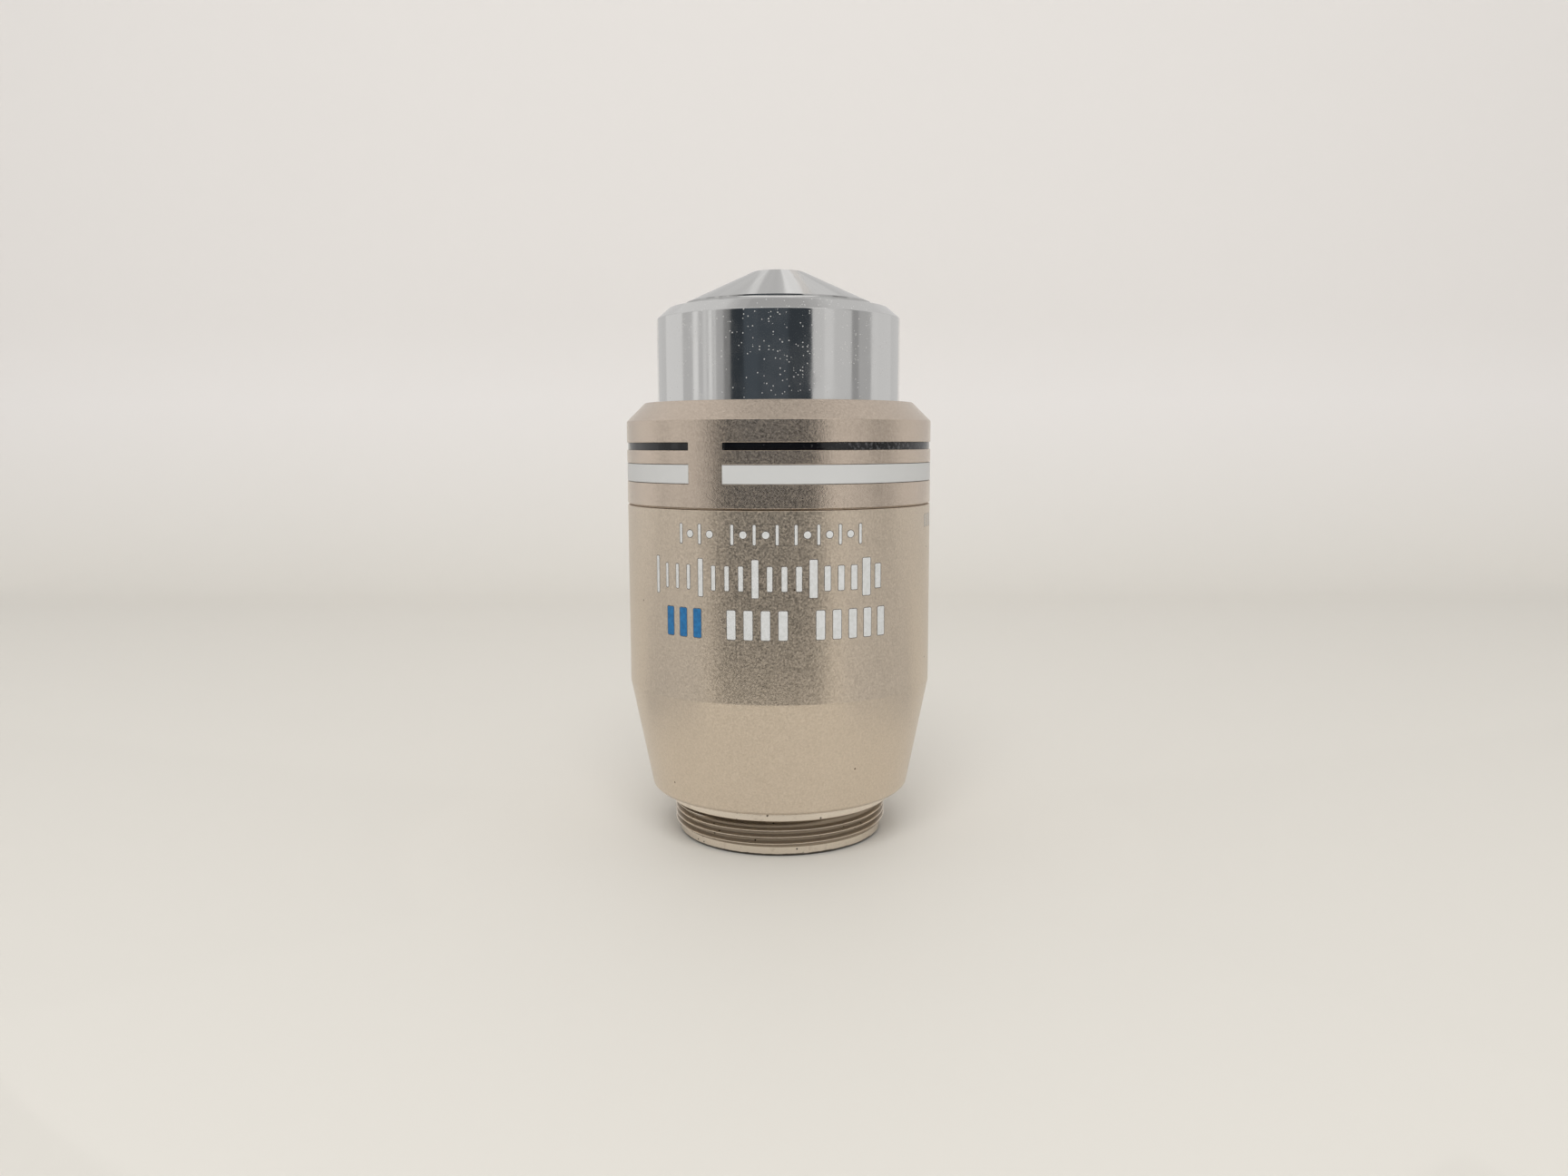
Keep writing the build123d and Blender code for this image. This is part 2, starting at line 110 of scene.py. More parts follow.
def material(name, color, roughness, metallic=0.0):
    """A principled material with one colour, and its Object coordinates for the patterns on it."""
    finish = bpy.data.materials.new(name)
    finish.use_nodes = True
    shader = finish.node_tree.nodes["Principled BSDF"]
    shader.inputs["Base Color"].default_value = (*color, 1)
    shader.inputs["Roughness"].default_value = roughness
    shader.inputs["Metallic"].default_value = metallic
    place = finish.node_tree.nodes.new("ShaderNodeTexCoord").outputs["Object"]
    return finish, shader, place


def add(finish, kind, links=None, **settings):
    """Adds one node to a material. Settings go to the node itself, and links to its sockets, which are
    given by their order or name."""
    node = finish.node_tree.nodes.new(kind)
    for key, value in settings.items():
        setattr(node, key, value)
    for socket, source in (links or {}).items():
        if hasattr(source, "is_output"):
            finish.node_tree.links.new(source, node.inputs[socket])
        else:
            node.inputs[socket].default_value = source
    return node


def ramp(finish, source, stops):
    """Colour ramp from a list of places and greys or colours."""
    node = add(finish, "ShaderNodeValToRGB", {0: source})
    while len(node.color_ramp.elements) < len(stops):
        node.color_ramp.elements.new(0.5)
    for element, (position, color) in zip(node.color_ramp.elements, stops):
        element.position = position
        element.color = (color, color, color, 1) if isinstance(color, (int, float)) else (*color, 1)
    return node.outputs[0]


def join_to(finish, source, socket):
    """Links a node's output to a socket."""
    finish.node_tree.links.new(source, socket)


sheet_finish, sheet_shader, sheet_place = material("pale_sheet", table_color, 0.6)
sheet_height = add(sheet_finish, "ShaderNodeSeparateXYZ", {0: sheet_place})
sheet_rise = add(sheet_finish, "ShaderNodeMapRange", {
    0: sheet_height.outputs[2], 1: 0.0, 2: 60 * mm, 3: 0.0, 4: 1.0,
})
join_to(sheet_finish, ramp(sheet_finish, sheet_rise.outputs[0], [(0, table_color), (1, wall_color)]),
        sheet_shader.inputs["Base Color"])
ray = add(sheet_finish, "ShaderNodeLightPath")
seen = add(sheet_finish, "ShaderNodeMath", {
    0: ray.outputs["Is Camera Ray"], 1: ray.outputs["Is Glossy Ray"],
}, operation="MAXIMUM")
seen_through = add(sheet_finish, "ShaderNodeMath", {
    0: seen.outputs[0], 1: ray.outputs["Is Transmission Ray"],
}, operation="MAXIMUM")
wall_glow = add(sheet_finish, "ShaderNodeMath", {
    0: seen_through.outputs[0], 1: sheet_rise.outputs[0],
}, operation="MULTIPLY")
wall_strength = add(sheet_finish, "ShaderNodeMath", {
    0: wall_glow.outputs[0], 1: 0.04,
}, operation="MULTIPLY")
sheet_shader.inputs["Emission Color"].default_value = (*wall_color, 1)
join_to(sheet_finish, wall_strength.outputs[0], sheet_shader.inputs["Emission Strength"])
table.data.materials.append(sheet_finish)

# Even studio light: a plain pale world all round, and one large soft lamp high up on the camera's
# side, so that the objective's shadow falls back behind it and stays faint.
world = bpy.data.worlds.new("studio")
world.use_nodes = True
world.node_tree.nodes["Background"].inputs["Color"].default_value = (0.97, 0.96, 0.95, 1)
world.node_tree.nodes["Background"].inputs["Strength"].default_value = 0.68
bpy.context.scene.world = world
bpy.ops.object.light_add(
    type="AREA", location=(-20 * mm, -440 * mm, 540 * mm),
    rotation=(math.radians(40), 0, math.radians(-3)),
)
lamp = bpy.context.object
lamp.data.shape = "DISK"
lamp.data.size = 420 * mm
lamp.data.energy = 2.3
lamp.visible_glossy = False

# The room, seen only in the reflections of bright metal: strips of its wall round the objective, one
# group as dark as a photographer in front of it, the ceiling, and the table top in that person's shade.
# Each card is an edge spun round the objective's axis.
warm_grey = (1.0, 0.985, 0.97)
cool_grey = (0.85, 1.0, 1.16)
card_radius = 330
card_height = 420
card_step = 3
shade_height = 0.5
room_height = 600
back_foot = (285, 225)
back_head = (285, 620)
back_light_head = (285, 520)


def card(name, start, end, level, tint=warm_grey, low=(card_radius, 0), high=(card_radius, card_height)):
    """A glowing card from one angle to another, in degrees to the right of the front, between two
    points that are given by their distance from the axis and their height in millimetres."""
    bpy.ops.mesh.primitive_plane_add(size=1)
    piece = bpy.context.object
    piece.name = name
    bpy.ops.object.mode_set(mode="EDIT")
    bpy.ops.mesh.delete(type="ONLY_FACE")
    bpy.ops.object.mode_set(mode="OBJECT")
    first_angle = math.radians(end - 90)
    for vertex in piece.data.vertices:
        reach, height = low if vertex.co.y < 0 else high
        sideways, back = reach * mm * math.cos(first_angle), reach * mm * math.sin(first_angle)
        vertex.co = (sideways, back, height * mm)
    bpy.ops.object.mode_set(mode="EDIT")
    bpy.ops.mesh.select_all(action="SELECT")
    bpy.ops.mesh.remove_doubles(threshold=0.01 * mm)
    bpy.ops.mesh.spin(
        steps=max(1, round((end - start) / card_step)), angle=math.radians(end - start),
        center=(0, 0, 0), axis=(0, 0, 1),
    )
    bpy.ops.object.mode_set(mode="OBJECT")
    finish = bpy.data.materials.new(name)
    finish.use_nodes = True
    finish.node_tree.nodes.remove(finish.node_tree.nodes["Principled BSDF"])
    glow = add(finish, "ShaderNodeEmission", {0: (*(channel * level for channel in tint), 1)})
    join_to(finish, glow.outputs[0], finish.node_tree.nodes["Material Output"].inputs[0])
    piece.data.materials.append(finish)
    piece.visible_camera = False
    piece.visible_diffuse = False
    piece.visible_transmission = False
    piece.visible_shadow = False


card("dark_left", -43.5, -31, 0.043, cool_grey)
card("dark_fold", -31, -18, 0.080, cool_grey)
card("dark_middle", -18, 9, 0.070, cool_grey)
card("dark_right", 9, 30.4, 0.048, cool_grey)
card("left_near", -50, -43.5, 0.24)
card("left_middle", -58, -50, 0.44)
card("left_light_one", -60, -58, 0.68)
card("left_grey_one", -62, -60, 0.52)
card("left_bright", -65.5, -62, 0.82)
card("left_grey_two", -68, -65.5, 0.56)
card("left_light_two", -72, -68, 0.68)
card("left_grey_three", -77.5, -72, 0.54)
card("left_light_three", -84, -77.5, 0.82)
card("left_grey_four", -98, -84, 0.53)
card("right_wide_one", 30.4, 42, 0.62)
card("right_light", 42, 51, 0.71)
card("right_wide_two", 51, 70, 0.60)
card("right_strip", 70, 78, 0.33)
card("right_pale_strip", 78, 94, 0.45)
card("right_far", 94, 104, 0.70)
card("left_end", -128, -98, 0.74)
card("left_back", -155, -128, 0.60)
card("right_end", 104, 128, 0.68)
card("right_back", 128, 155, 0.62)
card("table_shade", -46, 33, 0.04, warm_grey, low=(82, shade_height), high=(320, shade_height))
card("table_left", -112, -52, 0.50, warm_grey, low=(44, shade_height), high=(320, shade_height))
card("table_right", 45, 112, 0.52, warm_grey, low=(44, shade_height), high=(320, shade_height))
card("ceiling", 0, 360, 0.43, warm_grey, low=(0.001, room_height), high=(190, room_height))
card("ceiling_front", -90, 90, 1.15, warm_grey, low=(190, room_height), high=(300, room_height))
card("ceiling_back", 90, 270, 0.49, warm_grey, low=(190, room_height), high=(240, room_height))
card("ceiling_far_back", 90, 270, 0.56, warm_grey, low=(240, room_height), high=(290, room_height))
card("back_left", 188.7, 250, 0.69, warm_grey, low=back_foot, high=back_head)
card("back_middle", 178.2, 186.5, 0.66, warm_grey, low=back_foot, high=back_head)
card("back_right", 110, 167.5, 0.62, warm_grey, low=back_foot, high=back_head)
card("back_faint_right", 167.5, 171.5, 0.75, warm_grey, low=back_foot, high=back_head)
card("back_low", 110, 250, 0.64, warm_grey, low=(285, 110), high=back_foot)
card("back_light_left", 186.5, 188.7, 0.88, warm_grey, low=back_foot, high=back_light_head)
card("back_light_right", 173.2, 178.2, 1.0, warm_grey, low=back_foot, high=back_light_head)

# Mounting ring: nickel plated brass, turned in one piece. Its thread is a real helix of 0.75 mm pitch
# with a 60 degree profile, the crests worn bright and the grooves dull with old grease. Its lowest edge,
# where it stands on the table, is painted near black as contact shade. Turned pieces have 245 segments
# from one end of the colour bands' gap on, so that the gap spans nine of them.
gap_middle = math.radians(-90 - 26.4)
gap_half = math.radians(6.6)
segments = 245


def turned(name, outline, edge_break=0.06):
    """Lathe work: a ring of edges is extruded along a closed outline of radii and heights, which are
    in millimetres."""
    radius, height = outline[0]
    bpy.ops.mesh.primitive_circle_add(
        vertices=segments, radius=radius * mm, location=(0, 0, height * mm),
        rotation=(0, 0, gap_middle + gap_half),
    )
    piece = bpy.context.object
    piece.name = name
    bpy.ops.object.transform_apply()
    bpy.ops.object.mode_set(mode="EDIT")
    bpy.ops.mesh.select_mode(type="VERT")
    bpy.ops.mesh.select_all(action="SELECT")
    for next_radius, next_height in outline[1:] + outline[:1]:
        rise = (next_height - height) * mm
        scale = next_radius / radius
        bpy.ops.mesh.extrude_region_move(TRANSFORM_OT_translate={"value": (0, 0, rise)})
        bpy.ops.transform.resize(value=(scale, scale, 1), center_override=(0, 0, 0))
        radius, height = next_radius, next_height
    bpy.ops.mesh.select_all(action="SELECT")
    bpy.ops.mesh.remove_doubles(threshold=0.001 * mm)
    bpy.ops.mesh.normals_make_consistent(inside=False)
    bpy.ops.object.mode_set(mode="OBJECT")
    finish_edges(piece, edge_break)
    return piece


def finish_edges(piece, edge_break):
    """Breaks the sharp edges of a turned piece and smooths its shading."""
    if edge_break:
        bevel = piece.modifiers.new("edge_break", "BEVEL")
        bevel.width = edge_break * mm
        bevel.segments = 3
        bevel.limit_method = "ANGLE"
        bevel.angle_limit = math.radians(20)
        bpy.ops.object.modifier_apply(modifier="edge_break")
    bpy.ops.object.shade_smooth()
    weights = piece.modifiers.new("even_normals", "WEIGHTED_NORMAL")
    weights.weight = 90
    bpy.ops.object.modifier_apply(modifier="even_normals")


def radius_of(node):
    """Outer radius of a round CAD node, in millimetres."""
    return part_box(node)[1].x / mm


def heights_of(node):
    """Lowest and highest point of a CAD node, in millimetres."""
    low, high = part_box(node)
    return low.z / mm, high.z / mm


thread_major = 12.5
thread_depth = 0.44
thread_root = thread_major - thread_depth
thread_pitch = 0.75
thread_start = 1.05
thread_top = 3.95
first_turn = 0.22
last_turn = 3.78
turn_count = 4
runout = 0.12
crest_half = 0.035
root_sink = 0.04
end_sink = 0.3
lead_length = 1.1
lead_radius = 12.0
lead_chamfer = 0.3
lead_slope = 0.05
relief_radius = 11.85
relief_slope = 0.1
rear_bore = 10.2
spigot_radius = 11.5
flange_radius = radius_of("mounting_ring")
flange_bottom = 4.35
flange_top = 5.35
flange_chamfer = 0.12
ring_bottom, spigot_top = heights_of("mounting_ring")
mounting_ring = turned("mounting_ring_turned", [
    (rear_bore, ring_bottom),
    (lead_radius - lead_chamfer, ring_bottom),
    (lead_radius, ring_bottom + lead_chamfer),
    (lead_radius, lead_length),
    (thread_root, lead_length + lead_slope),
    (thread_root, thread_top - relief_slope),
    (relief_radius, thread_top + relief_slope),
    (relief_radius, flange_bottom),
    (flange_radius - flange_chamfer, flange_bottom),
    (flange_radius, flange_bottom + flange_chamfer),
    (flange_radius, flange_top - flange_chamfer),
    (flange_radius - flange_chamfer, flange_top),
    (spigot_radius, flange_top),
    (spigot_radius, spigot_top),
    (rear_bore, spigot_top),
])

bpy.ops.mesh.primitive_plane_add(size=1)
thread = bpy.context.object
thread.name = "thread_helix"
flank = thread_depth * math.tan(math.radians(30))
tooth = [
    (thread_root - root_sink, -crest_half - flank),
    (thread_major, -crest_half),
    (thread_major, crest_half),
    (thread_root - root_sink, crest_half + flank),
]
corners = sorted(thread.data.vertices, key=lambda vertex: math.atan2(vertex.co.y, vertex.co.x))
for vertex, (radius, offset) in zip(corners, tooth):
    vertex.co = (radius * mm, 0, (thread_start + offset) * mm)
bpy.ops.object.mode_set(mode="EDIT")
bpy.ops.mesh.select_all(action="SELECT")
bpy.ops.mesh.delete(type="ONLY_FACE")
bpy.ops.object.mode_set(mode="OBJECT")
coil = thread.modifiers.new("helix", "SCREW")
coil.axis = "Z"
coil.steps = coil.render_steps = 180
coil.screw_offset = thread_pitch * mm
coil.iterations = turn_count
bpy.ops.object.modifier_apply(modifier="helix")
for vertex in thread.data.vertices:
    reach = math.hypot(vertex.co.x, vertex.co.y)
    turn = (vertex.co.z / mm - thread_start) / thread_pitch
    fade = min(1, max(0, (turn - first_turn) / runout), max(0, (last_turn - turn) / runout))
    if reach > thread_root * mm:
        shrink = (thread_root + (thread_major - thread_root) * fade) * mm / reach
        vertex.co.x *= shrink
        vertex.co.y *= shrink
    if fade == 0:
        sunk = (thread_root - end_sink) / thread_root
        vertex.co.x *= sunk
        vertex.co.y *= sunk
bpy.ops.object.mode_set(mode="EDIT")
bpy.ops.mesh.select_all(action="DESELECT")
bpy.ops.mesh.select_non_manifold()
bpy.ops.mesh.edge_face_add()
bpy.ops.mesh.select_all(action="SELECT")
bpy.ops.mesh.normals_make_consistent(inside=False)
bpy.ops.object.mode_set(mode="OBJECT")
bpy.ops.object.shade_smooth_by_angle(angle=math.radians(25))
mounting_ring.select_set(True)
bpy.context.view_layer.objects.active = mounting_ring
bpy.ops.object.join()
mounting_ring.name = "threaded_mounting_ring"

nickel, nickel_shader, nickel_place = material("worn_nickel", (0.50, 0.44, 0.37), 0.32, metallic=1)
split = add(nickel, "ShaderNodeSeparateXYZ", {0: nickel_place})
square_x = add(nickel, "ShaderNodeMath", {
    0: split.outputs[0], 1: split.outputs[0],
}, operation="MULTIPLY")
square_y = add(nickel, "ShaderNodeMath", {
    0: split.outputs[1], 1: split.outputs[1],
}, operation="MULTIPLY")
squares = add(nickel, "ShaderNodeMath", {
    0: square_x.outputs[0], 1: square_y.outputs[0],
}, operation="ADD")
reach = add(nickel, "ShaderNodeMath", {0: squares.outputs[0], 1: 0.5}, operation="POWER")
depth = add(nickel, "ShaderNodeMapRange", {
    0: reach.outputs[0], 1: (thread_root - end_sink) * mm, 2: thread_major * mm, 3: 0.0, 4: 1.02,
})
grease = add(nickel, "ShaderNodeTexNoise", {
    0: nickel_place, "Scale": 900, "Detail": 6, "Roughness": 0.6,
})
grime = add(nickel, "ShaderNodeMath", {
    0: grease.outputs[0], 1: 0.30, 2: -0.15,
}, operation="MULTIPLY_ADD")
lead = add(nickel, "ShaderNodeMapRange", {
    0: split.outputs[2], 1: (lead_length + 0.02) * mm, 2: lead_length * mm, 3: 0.0, 4: 1.02,
})
plain = add(nickel, "ShaderNodeMath", {0: depth.outputs[0], 1: lead.outputs[0]}, operation="MAXIMUM")
worn = add(nickel, "ShaderNodeMath", {0: plain.outputs[0], 1: grime.outputs[0]}, operation="ADD")
nickel_color = ramp(nickel, worn.outputs[0], [
    (0.0, (0.50, 0.42, 0.33)),
    (0.3, (0.36, 0.295, 0.225)),
    (0.84, (0.33, 0.27, 0.205)),
    (0.96, (0.66, 0.58, 0.49)),
    (1.0, (0.80, 0.72, 0.62)),
])
oil = add(nickel, "ShaderNodeTexVoronoi", {0: nickel_place, "Scale": 1500, "Randomness": 1.0})
oil_spot = add(nickel, "ShaderNodeMath", {0: oil.outputs["Distance"], 1: 0.16}, operation="LESS_THAN")
oil_pick = add(nickel, "ShaderNodeSeparateColor", {0: oil.outputs["Color"]})
oil_rare = add(nickel, "ShaderNodeMath", {0: oil_pick.outputs[0], 1: 0.78}, operation="GREATER_THAN")
oil_mask = add(nickel, "ShaderNodeMath", {
    0: oil_spot.outputs[0], 1: oil_rare.outputs[0],
}, operation="MULTIPLY")
# Painted contact shade: the lowest 0.3 mm of the ring, where it stands on the table, turns near black
# with a ragged upper edge. The oil spots mixed in with it are real stains.
shade_edge_height = add(nickel, "ShaderNodeMath", {
    0: grease.outputs[0], 1: 0.25 * mm, 2: split.outputs[2],
}, operation="MULTIPLY_ADD")
painted_contact_shade = add(nickel, "ShaderNodeMapRange", {
    0: shade_edge_height.outputs[0], 1: 0.42 * mm, 2: 0.50 * mm, 3: 0.92, 4: 0.0,
})
oil_and_contact_shade = add(nickel, "ShaderNodeMath", {
    0: oil_mask.outputs[0], 1: painted_contact_shade.outputs[0],
}, operation="MAXIMUM")
oil_and_shade_color = add(nickel, "ShaderNodeMix", {
    "Factor": oil_and_contact_shade.outputs[0], 6: nickel_color, 7: (0.035, 0.027, 0.020, 1),
}, data_type="RGBA")
join_to(nickel, oil_and_shade_color.outputs[2], nickel_shader.inputs["Base Color"])
nickel_metal = ramp(nickel, worn.outputs[0], [(0.0, 0.65), (0.84, 0.75), (0.96, 1.0)])
join_to(nickel, nickel_metal, nickel_shader.inputs["Metallic"])
nickel_rough = ramp(nickel, worn.outputs[0], [(0.0, 0.6), (0.9, 0.34), (1.0, 0.22)])
join_to(nickel, nickel_rough, nickel_shader.inputs["Roughness"])
mounting_ring.data.materials.append(nickel)
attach(mounting_ring, "housing")
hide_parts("mounting_ring")

# Mounting shim: a thin nickel washer between the ring's flange and the barrel, seen as the fine
# line there. It stays as the CAD model has it.
frame["nodes"]["mounting_shim"].data.materials.clear()
frame["nodes"]["mounting_shim"].data.materials.append(nickel)

# Outer barrel: a turned aluminium sleeve, blasted to a fine grain and finished in champagne satin,
# with a few dark specks of dirt.


def champagne(name, color, roughness, metallic, grain_tone, glitter):
    """Champagne satin over blasted aluminium. Its grain is a little relief and tone, and above all how
    metallic each spot is. A few specks of dirt stick to it."""
    finish, shader, place = material(name, color, roughness, metallic)
    grain = add(finish, "ShaderNodeTexNoise", {0: place, "Scale": 4600, "Detail": 2, "Roughness": 0.6})
    cloud = add(finish, "ShaderNodeTexNoise", {0: place, "Scale": 160, "Detail": 3})
    shade = add(finish, "ShaderNodeMath", {
        0: cloud.outputs[0], 1: 0.12, 2: grain.outputs[0],
    }, operation="MULTIPLY_ADD")
    tone = ramp(finish, shade.outputs[0], [
        (spot, [channel * level for channel in color])
        for spot, level in ((0.38, 1 - grain_tone), (0.56, 1.0), (0.74, 1 + grain_tone))
    ])
    dirt = add(finish, "ShaderNodeTexVoronoi", {0: place, "Scale": 600, "Randomness": 1.0})
    dirt_spot = add(finish, "ShaderNodeMath", {
        0: dirt.outputs["Distance"], 1: 0.065,
    }, operation="LESS_THAN")
    dirt_pick = add(finish, "ShaderNodeSeparateColor", {0: dirt.outputs["Color"]})
    dirt_rare = add(finish, "ShaderNodeMath", {
        0: dirt_pick.outputs[0], 1: 0.92,
    }, operation="GREATER_THAN")
    dirt_mask = add(finish, "ShaderNodeMath", {
        0: dirt_spot.outputs[0], 1: dirt_rare.outputs[0],
    }, operation="MULTIPLY")
    dirty = add(finish, "ShaderNodeMix", {
        "Factor": dirt_mask.outputs[0], 6: tone, 7: (0.10, 0.06, 0.035, 1),
    }, data_type="RGBA")
    join_to(finish, dirty.outputs[2], shader.inputs["Base Color"])
    join_to(finish, ramp(finish, grain.outputs[0], [
        (0.34, metallic + glitter), (0.5, metallic), (0.68, metallic - 1.2 * glitter),
    ]), shader.inputs["Metallic"])
    relief = add(finish, "ShaderNodeBump", {
        "Strength": 0.9, "Distance": 0.02 * mm, "Height": grain.outputs[0],
    })
    join_to(finish, relief.outputs[0], shader.inputs["Normal"])
    return finish


barrel_finish = champagne(
    "champagne_barrel", (0.655, 0.56, 0.45), roughness=0.30, metallic=0.76, grain_tone=0.06, glitter=0.16
)
barrel_radius = radius_of("outer_barrel")
barrel_bottom, seam = heights_of("outer_barrel")
barrel_wall = 1.72
foot_radius = 15.13
foot_bore = 13.28
foot_chamfer = 0.35
step_top = barrel_bottom + 1.0
neck_bore = 12.66
neck_top = barrel_bottom + 3.35
taper_top = barrel_bottom + 12.75
seam_chamfer = 0.06
edge_loop = 0.08
taper_slope = (barrel_radius - foot_radius) / (taper_top - barrel_bottom - foot_chamfer)
outer_barrel = turned("champagne_barrel", [
    (foot_bore, barrel_bottom),
    (foot_radius - foot_chamfer, barrel_bottom),
    (foot_radius, barrel_bottom + foot_chamfer),
    (barrel_radius - edge_loop * taper_slope, taper_top - edge_loop),
    (barrel_radius, taper_top),
    (barrel_radius, taper_top + edge_loop),
    (barrel_radius, seam - seam_chamfer),
    (barrel_radius - seam_chamfer, seam),
    (barrel_radius - barrel_wall, seam),
    (barrel_radius - barrel_wall, taper_top),
    (neck_bore, neck_top),
    (neck_bore, step_top),
    (foot_bore, step_top),
], edge_break=0.03)
outer_barrel.data.materials.append(barrel_finish)
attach(outer_barrel, "housing")
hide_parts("outer_barrel")

# Front ring: champagne satin too, a little glossier. A fine relief above the barrel makes the seam's
# dark line, and its two band grooves are milled with a gap between their ends.
ring_finish = champagne(
    "champagne_ring", (0.65, 0.55, 0.455), roughness=0.25, metallic=0.86, grain_tone=0.07, glitter=0.10
)
seam_gap = 0.2
seam_depth = 0.4
ring_seam, ring_top = heights_of("front_ring")
ring_shoulder = ring_seam + 9.43
ring_land = 15.5
nose_bore = 14.05
nose_bore_chamfer = 0.2
guide_length = 4.4
relief_bore = 14.35
thread_bore = 15.04
thread_end = 42.6
band_depth = 0.3
white_low, white_high = heights_of("white_band")
black_low, black_high = heights_of("black_band")
front_ring = turned("champagne_front_ring", [
    (thread_bore, ring_seam),
    (barrel_radius - seam_depth, ring_seam),
    (barrel_radius - seam_depth, ring_seam + seam_gap),
    (barrel_radius, ring_seam + seam_gap),
    (barrel_radius, white_low),
    (barrel_radius, white_high),
    (barrel_radius, black_low),
    (barrel_radius, black_high),
    (barrel_radius, ring_shoulder),
    (ring_land, ring_top),
    (nose_bore + nose_bore_chamfer, ring_top),
    (nose_bore, ring_top - nose_bore_chamfer),
    (nose_bore, ring_top - guide_length),
    (relief_bore, ring_top - guide_length),
    (relief_bore, thread_end),
    (thread_bore, thread_end),
], edge_break=0)


def in_gap(face):
    angle = math.atan2(face.center.y, face.center.x)
    return abs(math.remainder(angle - gap_middle, 2 * math.pi)) < gap_half


def is_groove(face):
    level = face.center.z / mm
    outside = math.hypot(face.center.x, face.center.y) > (barrel_radius - 0.05) * mm
    in_band = white_low < level < white_high or black_low < level < black_high
    return outside and in_band and not in_gap(face)


pick(front_ring, "FACE", is_groove)
bpy.ops.mesh.extrude_region_move(TRANSFORM_OT_translate={"value": (0, 0, 0)})
groove_scale = (barrel_radius - band_depth) / barrel_radius
bpy.ops.transform.resize(value=(groove_scale, groove_scale, 1), center_override=(0, 0, 0))
bpy.ops.object.mode_set(mode="OBJECT")
finish_edges(front_ring, 0.075)
front_ring.data.materials.append(ring_finish)
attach(front_ring, "housing")
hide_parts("front_ring")

# White band: white enamel poured into its groove, flush with the ring and chipped here and there
# along its edge. It goes once round the ring but for the gap.


def band(name, low, high, outer):
    """Enamel in one groove: a ring round the front ring with the gap cut out of it."""
    floor = barrel_radius - band_depth
    piece = turned(name, [(floor, low), (outer, low), (outer, high), (floor, high)], edge_break=0)
    pick(piece, "FACE", in_gap)
    bpy.ops.mesh.delete(type="FACE")
    for end_angle in (gap_middle - gap_half, gap_middle + gap_half):

        def is_end(vertex):
            away = math.remainder(math.atan2(vertex.co.y, vertex.co.x) - end_angle, 2 * math.pi)
            return abs(away) < math.radians(0.5)

        pick(piece, "VERT", is_end)
        bpy.ops.mesh.edge_face_add()
    bpy.ops.mesh.select_all(action="SELECT")
    bpy.ops.mesh.normals_make_consistent(inside=False)
    bpy.ops.object.mode_set(mode="OBJECT")
    finish_edges(piece, 0.05)
    return piece


enamel_gap = 0.05
white_color = (0.59, 0.595, 0.59)
white_middle = (white_low + white_high) / 2
white_half = (white_high - white_low) / 2
white_enamel, white_shader, white_place = material("white_enamel", white_color, 0.32)
white_split = add(white_enamel, "ShaderNodeSeparateXYZ", {0: white_place})
off_middle = add(white_enamel, "ShaderNodeMath", {
    0: white_split.outputs[2], 1: white_middle * mm,
}, operation="SUBTRACT")
from_middle = add(white_enamel, "ShaderNodeMath", {0: off_middle.outputs[0]}, operation="ABSOLUTE")
near_edge = add(white_enamel, "ShaderNodeMapRange", {
    0: from_middle.outputs[0], 1: (white_half - 0.28) * mm, 2: (white_half - 0.05) * mm, 3: 0.0, 4: 0.36,
})
chipping = add(white_enamel, "ShaderNodeTexNoise", {
    0: white_place, "Scale": 1100, "Detail": 3, "Roughness": 0.6,
})
chip_level = add(white_enamel, "ShaderNodeMath", {
    0: chipping.outputs[0], 1: near_edge.outputs[0],
}, operation="ADD")
chip = add(white_enamel, "ShaderNodeMath", {
    0: chip_level.outputs[0], 1: 1.045,
}, operation="GREATER_THAN")
chipped = add(white_enamel, "ShaderNodeMix", {
    "Factor": chip.outputs[0], 6: (*white_color, 1), 7: (0.10, 0.075, 0.055, 1),
}, data_type="RGBA")
join_to(white_enamel, chipped.outputs[2], white_shader.inputs["Base Color"])
white_sunk = 0.01
white_band = band(
    "white_enamel_band", white_low + enamel_gap, white_high - enamel_gap, barrel_radius - white_sunk
)
white_band.data.materials.append(white_enamel)
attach(white_band, "housing")
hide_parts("white_band")

# Black band: glossy black enamel, made like the white one. It lies a little deeper in its groove, and
# a grey mottle painted towards its right side stands in for reflections there.
black_color = (0.004, 0.004, 0.005)
black_enamel, black_shader, black_place = material("black_enamel", black_color, 0.12)
# Painted reflection: a grey mottle that grows towards the band's right side (+x), with a rougher surface
# where it shows.
reflection_mottle = add(black_enamel, "ShaderNodeTexNoise", {
    0: black_place, "Scale": 2600, "Detail": 4, "Roughness": 0.6,
})
black_split = add(black_enamel, "ShaderNodeSeparateXYZ", {0: black_place})
painted_reflection_side = add(black_enamel, "ShaderNodeMapRange", {
    0: black_split.outputs[0], 1: 2 * mm, 2: 8 * mm, 3: -0.12, 4: 0.02,
})
painted_reflection_level = add(black_enamel, "ShaderNodeMath", {
    0: reflection_mottle.outputs[0], 1: painted_reflection_side.outputs[0],
}, operation="ADD")
join_to(black_enamel, ramp(black_enamel, painted_reflection_level.outputs[0], [
    (0.54, black_color), (0.64, (0.07, 0.07, 0.075)),
]), black_shader.inputs["Base Color"])
join_to(black_enamel, ramp(black_enamel, painted_reflection_level.outputs[0], [(0.4, 0.10), (0.7, 0.24)]),
        black_shader.inputs["Roughness"])
black_sunk = 0.12
black_band = band("black_enamel_band", black_low, black_high, barrel_radius - black_sunk)
